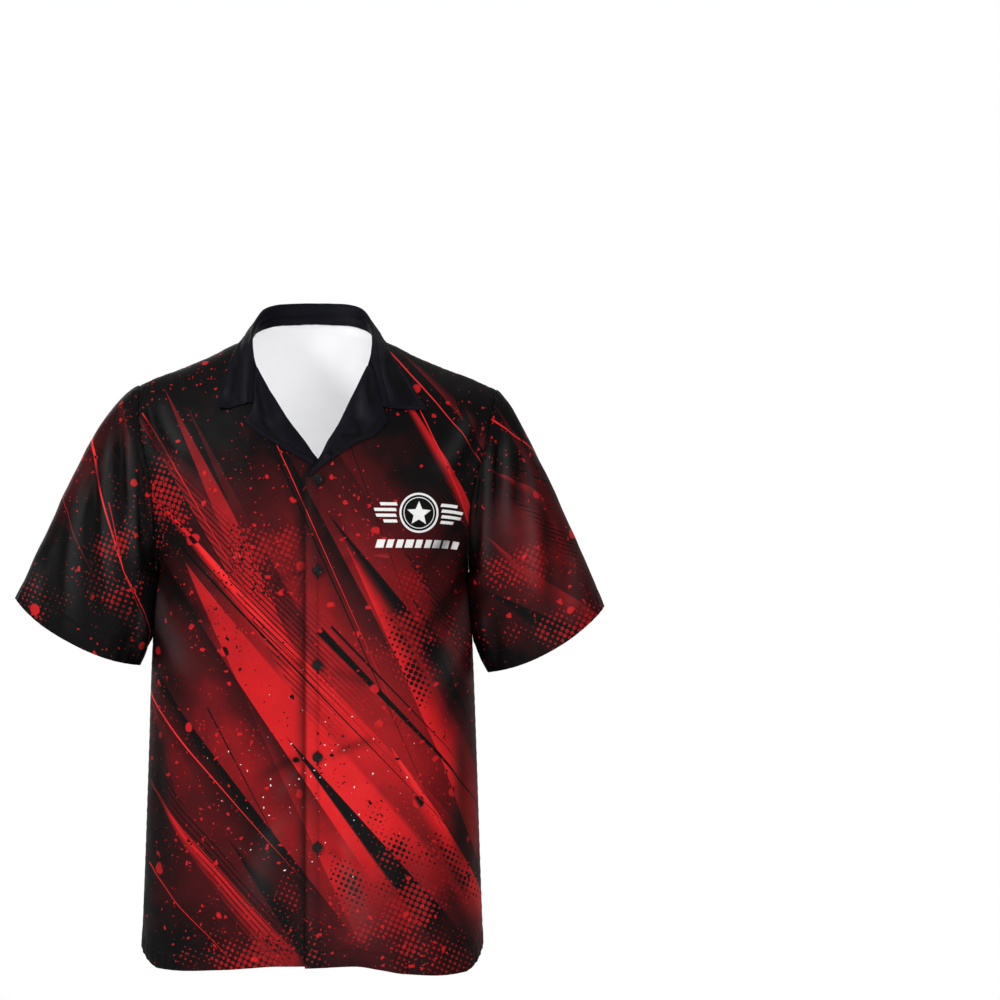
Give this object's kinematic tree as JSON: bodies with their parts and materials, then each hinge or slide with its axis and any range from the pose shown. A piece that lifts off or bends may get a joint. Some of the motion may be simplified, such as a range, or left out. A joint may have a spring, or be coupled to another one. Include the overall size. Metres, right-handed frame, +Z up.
{
  "type": "bowling shirt",
  "caption": "Short-sleeved bowling shirt with an open camp collar and a buttoned front, printed cloth in red and black, filled out as if worn.",
  "frame": {"origin": "middle of the neck base, on the level of the wearer's neck, between the two high points of the shoulders", "axes": "+X towards the wearer's left sleeve, -Y out of the buttoned front, +Z up towards the collar"},
  "size_m": [0.686, 0.2514, 0.779],
  "materials": {
    "printed_cloth": "matt printed polyester weave",
    "plain_cloth": "matt plain weave",
    "button_resin": "semi-gloss"
  },
  "bodies": {
    "root": {"back": "printed_cloth", "front_right_under": "printed_cloth", "front_left_over": "printed_cloth", "sleeve_right": "printed_cloth", "sleeve_left": "printed_cloth", "collar": "plain_cloth", "lapel_right": "plain_cloth", "lapel_left": "plain_cloth", "button_1": "button_resin", "button_2": "button_resin", "button_3": "button_resin", "button_4": "button_resin", "button_5": "button_resin"}
  },
  "joints": []
}
